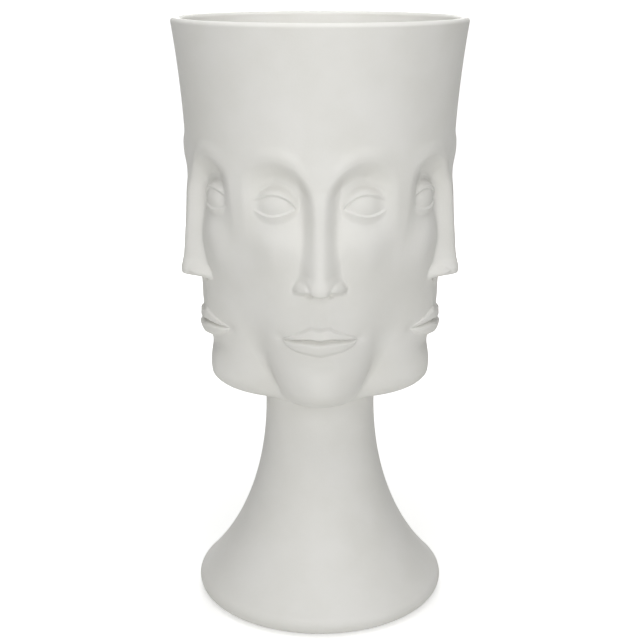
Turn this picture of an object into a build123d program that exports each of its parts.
from build123d import *
import math
import os

# A footed vase with a ring of moulded faces under a plain flared cup.
# Millimetres. Z is the turning axis, the foot stands on Z = 0 and the front face looks to -Y.
os.makedirs("parts", exist_ok=True)

# Overall levels and the turned cup
rim_height = 340.0  # top of the lip above the table
rim_radius = 82.0  # outside of the lip
wall = 5.0  # slip-cast wall
lip_flat = 0.6  # flat left on top of the lip between its two rounded edges
waist_radius = 75.0  # slimmest ring of the cup's outer wall, at eye level
head_base = 127.0  # level where the chins meet the neck
floor_rise = 19.0  # underside of the cup's floor above that level
floor_thickness = 6.0
floor_overhang = 9.0  # liner beyond the neck at its floor
floor_corner = 8.0  # rounding inside the floor
shoulder_rise = 16.0  # underside of the plain band above the brows
face_depth = 11.0  # liner behind the waist, the room that the faces fill
liner_belly = 14.0  # swell of the liner above its floor
throat_length = 30.0  # height over which the inside opens from the liner to the flared wall

# Pedestal
neck_radius = 32.0
foot_radius = 73.6
foot_edge = 7.0  # round of the outer foot edge
foot_ring_width = 9.6  # flat ring that the vase stands on
flare_angle = 44.0  # slope of the flare where it meets the foot edge, degrees
flare_top_pull = 12.0  # how long the neck stays upright
flare_edge_pull = 62.0  # how long the skirt stays at the flare angle
spigot_depth = 8.0  # stub under the cup's floor, inside the neck
luting_gap = 0.3  # slip film round that stub

# Head under each face
face_names = ("face_front", "face_right", "face_back_right", "face_back_left", "face_left")
setback = 13.0  # chin line behind the forehead
jaw_half_width = 20.0
chin_centre = 36.0  # middle of the chin section from the axis
chin_round = 15.0  # height over which the chin turns under
chin_edge = 1.0  # thickness of the relief where it ends on the neck
jaw_swell = 1.25  # how soon the jaw widens into the head, higher is later
chin_swell = 2.4  # how soon the head fills back to the axis, higher is sooner
valley_depth = 8.0  # least height of the valleys between heads above the neck radius
valley_blend = 6.0

# Features of one face: rises above the plain head, sizes on it and distances along it
face_width_share = 0.6  # width of a face as a share of its height
crease_fill = 2.0  # filling of the crease round the eyeball
feature_fade = 9.0  # height under the shoulder over which the features die out
cheek_rise = 2.0
cheek_size = 13.0
cheek_offset = 28.0  # cheekbone from the middle line
muzzle_rise = 2.2
muzzle_size = 16.0
muzzle_lift = 4.0  # middle of the muzzle above the mouth
socket_depth = 7.0
socket_edge = 11.0  # height over which the socket falls in under the brow
socket_height = 46.0  # from the brow to where the socket has died out
brow_rise = 0.9
brow_size = 4.0
brow_lift = 2.0  # peak of the brow arc above the brow line
brow_drop = 13.0  # fall of the arc from its peak to the nose
brow_tail_drop = 9.0  # fall of the arc from its peak to its outer end
brow_reach = 20.0  # peak of the arc to either of those ends
brow_peak_share = 0.95  # peak of the arc from the middle line, in eye widths
socket_end_share = 1.8  # outer end of the socket from the middle line, in eye widths
ball_depth = 15.0
ball_half_width = 16.3
ball_half_height = 13.6
ball_setback = 1.4
ball_lift = 1.4  # middle of the eyeball above the eye line
bridge_rise = 1.5
bridge_flat = 2.0  # half width of the bridge that the sockets leave whole
bridge_half_width = 9.5
nose_rise = 9.4
nose_half_width = 14.0  # at the base
nose_root_lift = 10.0  # root of the nose above the eyes
nose_tip_lift = 6.0  # tip of the nose above its base
nose_hollow = 1.15  # 1 is a straight ridge, higher is hollow
tip_rise = 1.0
tip_size = 5.5
base_turn = 4.2  # height over which the nose turns under
base_drop = 0.6  # lower end of that turn under the nose base
wing_rise = 5.4
wing_fill = 4.4  # filling of the crease between wing and tip
wing_offset = 9.2
wing_lift = 5.0  # middle of the wing above the nose base
wing_half_width = 5.2
wing_half_height = 6.4
wing_fullness = 0.7  # 1 is a parabola in section, lower is fuller
mouth_share = 0.8  # half of the mouth as a share of an eye's width
mouth_droop = 1.6  # corners of the mouth under its middle
bow_size = 4.5  # peaks of the upper lip from the middle line
bow_rise = 0.9
upper_lip_rise = 3.4
lower_lip_rise = 4.0
upper_lip_height = 7.4
lower_lip_height = 9.0
lip_corner_height = 0.4
lip_border = 0.65  # share of a lip's height at which its border starts to fall
lip_crease = 0.35  # share of a lip's height over which it rises from the mouth line
upper_lip_edge = 0.55  # height of the upper lip at its border, as a share of its rise
lower_lip_edge = 0.6  # the same for the lower lip
chin_rise = 2.4
chin_size = 11.0
chin_lift = 18.0  # middle of the chin pad above the neck
chin_hollow = 1.8
chin_hollow_drop = 15.0  # crease between lip and chin, under the mouth
chin_hollow_size = 4.5

# Resolution of the lofted relief: points across a face and sections in each stretch of its height
points_across = 51
chin_levels = 7
jaw_levels = 6
lip_levels = 18
groove_levels = 5
nose_levels = 8
brow_levels = 20

# Levels by the canon of thirds: chin to nose base, nose base to brow, brow to rim
face_height = rim_height - head_base
third = face_height / 3
nose_base = head_base + third
brow_height = head_base + 2 * third
eye_height = brow_height - third / 3
mouth_height = nose_base - third / 3
eye_width = face_width_share * face_height / 5
half_mouth = mouth_share * eye_width
sector = 2 * math.pi / len(face_names)

# Levels and radii of the turned pieces
lip_round = (wall - lip_flat) / 2
lip_height = rim_height - lip_round
shoulder_height = brow_height + shoulder_rise
floor_height = head_base + floor_rise
liner_radius = waist_radius - face_depth
floor_radius = neck_radius + floor_overhang
bore_radius = neck_radius - wall
edge_centre = foot_radius - foot_edge
ring_inner_radius = edge_centre - foot_ring_width
flare_turn = math.radians(flare_angle)


def cup_radius(z):
    # outside of the flared wall, upright at the waist and a parabola above it
    share = max(z - eye_height, 0.0) / (lip_height - eye_height)
    return waist_radius + (rim_radius - waist_radius) * share**2


def band_points(inset, bottom):
    # control points of the flared wall from one level up to the lip
    rise = lip_height - bottom
    slope = 2 * (rim_radius - waist_radius) * (bottom - eye_height) / (lip_height - eye_height) ** 2
    return (
        (cup_radius(bottom) - inset, bottom),
        (cup_radius(bottom) + slope * rise / 2 - inset, bottom + rise / 2),
        (rim_radius - inset, lip_height),
    )


def liner_points(inset, bottom, top):
    # control points of the liner's wall, from its floor up to the shoulder
    height = top - bottom
    return (
        (floor_radius - inset, bottom),
        (floor_radius + liner_belly - inset, bottom + height / 5),
        (liner_radius - inset, bottom + height * 2 / 5),
        (liner_radius - inset, top),
    )


def flare_points(inset):
    # control points of the pedestal's skirt, from the neck down to the foot edge
    outward, upward = math.cos(flare_turn), math.sin(flare_turn)
    end_radius = edge_centre + (foot_edge - inset) * outward
    end_height = foot_edge + (foot_edge - inset) * upward
    return (
        (neck_radius - inset, head_base),
        (neck_radius - inset, head_base - flare_top_pull),
        (end_radius - flare_edge_pull * upward, end_height + flare_edge_pull * outward),
        (end_radius, end_height),
    )


# Outside of the cup: spigot, liner behind the faces, shoulder and flared wall
spigot_radius = bore_radius - luting_gap
with BuildPart() as cup_block:
    with BuildSketch(Plane.XZ):
        with BuildLine():
            Polyline(
                (0, rim_height),
                (0, floor_height - spigot_depth),
                (spigot_radius, floor_height - spigot_depth),
                (spigot_radius, floor_height),
                (floor_radius, floor_height),
            )
            liner = Bezier(*liner_points(0, floor_height, shoulder_height))
            band = Bezier(*band_points(0, shoulder_height))
            Line(liner @ 1, band @ 0)
            lip_outside = CenterArc((rim_radius - lip_round, lip_height), lip_round, 0, 90)
            Line(lip_outside @ 1, (0, rim_height))
        make_face()
    revolve(axis=Axis.Z)

# Outside of the pedestal: neck, skirt and round foot edge
with BuildPart() as pedestal_block:
    with BuildSketch(Plane.XZ):
        with BuildLine():
            Polyline((0, 0), (0, floor_height), (neck_radius, floor_height), (neck_radius, head_base))
            skirt = Bezier(*flare_points(0))
            foot_side = (edge_centre + foot_edge, foot_edge)
            ThreePointArc(skirt @ 1, foot_side, (edge_centre, 0))
            Line((edge_centre, 0), (0, 0))
        make_face()
    revolve(axis=Axis.Z)

# Cup: the block hollowed from the lip to the floor
cavity_floor = floor_height + floor_thickness
throat_top = shoulder_height + throat_length
throat_middle = shoulder_height + throat_length / 2
with BuildPart() as cup:
    add(cup_block.part)
    with BuildSketch(Plane.XZ):
        with BuildLine():
            inside = Bezier(*liner_points(wall, cavity_floor, shoulder_height))
            band_inside = Bezier(*band_points(wall, throat_top))
            narrow = (inside @ 1).X
            wide = (band_inside @ 0).X
            Bezier(inside @ 1, (narrow, throat_middle), (wide, throat_middle), band_inside @ 0)
            lip_inside = CenterArc((rim_radius - wall + lip_round, lip_height), lip_round, 180, -90)
            Polyline(lip_inside @ 1, (0, rim_height), (0, cavity_floor), inside @ 0)
        make_face()
    revolve(axis=Axis.Z, mode=Mode.SUBTRACT)
    floor_edge = cup.edges().filter_by(GeomType.CIRCLE).group_by(Axis.Z)[2]
    fillet(floor_edge, floor_corner)
cup.part.label = "cup"
export_step(cup.part, "parts/cup.step")

# Pedestal: the block hollowed from underneath, open through the neck, with a flat ring to stand on
with BuildPart() as pedestal:
    add(pedestal_block.part)
    with BuildSketch(Plane.XZ):
        with BuildLine():
            inner_skirt = Bezier(*flare_points(wall))
            Polyline(
                inner_skirt @ 1,
                ((inner_skirt @ 1).X, 0),
                (0, 0),
                (0, floor_height),
                (bore_radius, floor_height),
                inner_skirt @ 0,
            )
        make_face()
        Rectangle(2 * ring_inner_radius, 2 * rim_height, mode=Mode.INTERSECT)
    revolve(axis=Axis.Z, mode=Mode.SUBTRACT)
pedestal.part.label = "pedestal"
export_step(pedestal.part, "parts/pedestal.step")


def ease(low, high, value):
    # smooth rise from 0 at low to 1 at high
    share = min(max((value - low) / (high - low), 0.0), 1.0)
    return share * share * (3.0 - 2.0 * share)


def soft_max(first, second, blend):
    # the larger of two heights, with the crease between them filled over the blend
    share = min(max(0.5 + 0.5 * (first - second) / blend, 0.0), 1.0)
    return second + (first - second) * share + blend * share * (1.0 - share)


def dab(x, z, width, height):
    # one round dab of clay, 1 at its middle
    return math.exp(-((x / width) ** 2) - (z / height) ** 2)


def front_radius(z):
    # middle line of the plain head, drawn back towards the chin
    return cup_radius(z) - setback * (1.0 - ease(head_base, brow_height, z))


def head_radius(angle, z):
    # plain head: an ellipse at each level, met by a ray from the axis
    share = (z - head_base) / (shoulder_height - head_base)
    widening = math.sin(math.pi / 2 * share) ** jaw_swell
    half_width = jaw_half_width + (cup_radius(z) - jaw_half_width) * widening
    centre = chin_centre * max(math.cos(math.pi / 2 * share), 0.0) ** chin_swell
    half_depth = front_radius(z) - centre
    across = (math.sin(angle) / half_width) ** 2 + (math.cos(angle) / half_depth) ** 2
    along = centre * math.cos(angle) / half_depth**2
    reach = along**2 - across * ((centre / half_depth) ** 2 - 1.0)
    return (along + math.sqrt(reach)) / across if reach > 0 else 0.0


def ring_of_heads(angle, z):
    # one head, its neighbour past the joint, and the valley between them
    own = soft_max(head_radius(angle, z), neck_radius + valley_depth, valley_blend)
    neighbour = head_radius(sector - abs(angle), z)
    blend = valley_blend * (1.0 - ease(eye_height, shoulder_height - 1.0, z))
    return soft_max(own, neighbour, blend) if blend > 0 else max(own, neighbour)


def nose_height(x, z):
    # ridge with the ball of its tip and a wing on each side, turned under at the base
    root = eye_height + nose_root_lift
    tip = nose_base + nose_tip_lift
    run = min(max((root - z) / (root - tip), 0.0), 1.0)
    ridge = bridge_rise * (1.0 - ease(eye_height, brow_height, z)) + nose_rise * run**nose_hollow
    half_width = bridge_half_width + (nose_half_width - bridge_half_width) * run**2
    nose = ridge * max(1.0 - (x / half_width) ** 2, 0.0) ** 2
    nose += tip_rise * dab(x, z - tip, tip_size, tip_size)
    off_wing = ((x - wing_offset) / wing_half_width) ** 2
    off_wing += ((z - nose_base - wing_lift) / wing_half_height) ** 2
    if off_wing < 1:
        wing = wing_rise * (1.0 - off_wing) ** wing_fullness
        nose = soft_max(nose, wing, wing_fill * math.sqrt(1.0 - off_wing))
    return nose * ease(-base_drop, base_turn - base_drop, z - nose_base)


def lip_rise(x, z):
    # two pads that meet on the mouth line, end in a border and taper to the corners
    out = min(x / half_mouth, 1.0)
    line = mouth_height - mouth_droop * out**2 - bow_rise * math.exp(-((x / bow_size) ** 2))
    if z >= line:
        bow = bow_rise * math.exp(-((2.0 * (x - bow_size) / bow_size) ** 2))
        share = (z - line) / (upper_lip_height * (1.0 - out) ** 0.75 + bow + lip_corner_height)
        pad = upper_lip_rise * (upper_lip_edge + (1.0 - upper_lip_edge) * max(1.0 - share, 0.0) ** 2)
    else:
        share = (line - z) / (lower_lip_height * (1.0 - out**2) ** 0.8 + lip_corner_height)
        pad = lower_lip_rise * (1.0 - (1.0 - lower_lip_edge) * min(share, 1.0) ** 2)
    pad *= ease(-0.1, lip_crease, share) * (1.0 - ease(lip_border, 1.12, share))
    return pad * (1.0 - out**2) ** 0.7


def socket_cut(x, z):
    # hollow of the eye socket under the brow arc, less the brow's own rise
    peak = brow_peak_share * eye_width
    drop = brow_drop if x < peak else brow_tail_drop
    below = brow_height + brow_lift - drop * ((x - peak) / brow_reach) ** 2 - z
    reach = 1.0 - ease(eye_width, socket_end_share * eye_width, x)
    hollow = socket_depth * reach * ease(bridge_flat, eye_width / 2, x)
    hollow *= ease(0.0, socket_edge, below) * (1.0 - ease(socket_height / 4, socket_height, below))
    ridge = brow_rise * reach * ease(0.15, 0.5, x / eye_width)
    return hollow - ridge * math.exp(-((below / brow_size + 0.6) ** 2))


def face_radius(angle, z):
    # outside of the relief at one angle from the nose and one level
    plain = ring_of_heads(angle, z)
    x = plain * math.sin(abs(angle))
    fade = 1.0 - ease(shoulder_height - feature_fade, shoulder_height - 0.1 * feature_fade, z)
    surface = plain + cheek_rise * dab(x - cheek_offset, z - nose_base - third / 3, cheek_size, cheek_size)
    surface += muzzle_rise * dab(x, z - mouth_height - muzzle_lift, muzzle_size, muzzle_size)
    surface -= socket_cut(x, z) * fade
    off_ball = ((x - eye_width) / ball_half_width) ** 2
    off_ball += ((z - eye_height - ball_lift) / ball_half_height) ** 2
    if off_ball < 1:
        ball = waist_radius - ball_setback - ball_depth * (1.0 - math.sqrt(1.0 - off_ball))
        surface = soft_max(surface, ball, crease_fill)
    surface += nose_height(x, z) * fade + lip_rise(x, z)
    surface += chin_rise * dab(x, z - head_base - chin_lift, chin_size, chin_size)
    surface -= chin_hollow * dab(x, z - mouth_height + chin_hollow_drop, chin_size, chin_hollow_size)
    under = min(max(1.0 - (z - head_base) / chin_round, 0.0), 1.0)
    start = neck_radius + chin_edge
    return start + (surface - start) * math.sqrt(1.0 - under**2)


# Front face: sections at rising levels, lofted, then cut back to the cup's liner and the neck
half_sector = sector / 2
angles = [half_sector * (2 * i / (points_across - 1) - 1) for i in range(points_across)]
spans = points_across - 3
knots = [0] * 3 + list(range(spans + 1)) + [spans] * 3
chin_top = head_base + chin_round
chin_turn = [math.pi / 2 * i / chin_levels for i in range(chin_levels)]
levels = [head_base + chin_round * (1 - math.cos(turn)) for turn in chin_turn]
lip_under = mouth_height - mouth_droop - lower_lip_height
lip_over = mouth_height + upper_lip_height + bow_rise
nose_under = nose_base - base_drop
nose_over = nose_base + wing_lift + wing_half_height
stretches = (
    (chin_top, lip_under, jaw_levels),
    (lip_under, lip_over, lip_levels),
    (lip_over, nose_under, groove_levels),
    (nose_under, nose_over, nose_levels),
    (nose_over, shoulder_height, brow_levels),
)
for low, high, count in stretches:
    levels += [low + (high - low) * i / count for i in range(count)]
levels.append(shoulder_height)
with BuildPart() as face:
    for level in levels:
        radii = [face_radius(angle, level) for angle in angles]
        outline = [(r * math.sin(angle), -r * math.cos(angle)) for r, angle in zip(radii, angles)]
        with BuildSketch(Plane.XY.offset(level)):
            with BuildLine():
                front = BSpline(outline, knots, 3)
                Polyline(front @ 1, (0, 0), front @ 0)
            make_face()
    loft()
    add(cup_block.part, mode=Mode.SUBTRACT)
    add(pedestal_block.part, mode=Mode.SUBTRACT)

# The ring of faces: one pressing repeated round the axis
for place, name in enumerate(face_names):
    with BuildPart() as pressing:
        add(face.part, rotation=(0, 0, math.degrees(sector * place)))
    pressing.part.label = name
    export_step(pressing.part, f"parts/{name}.step")
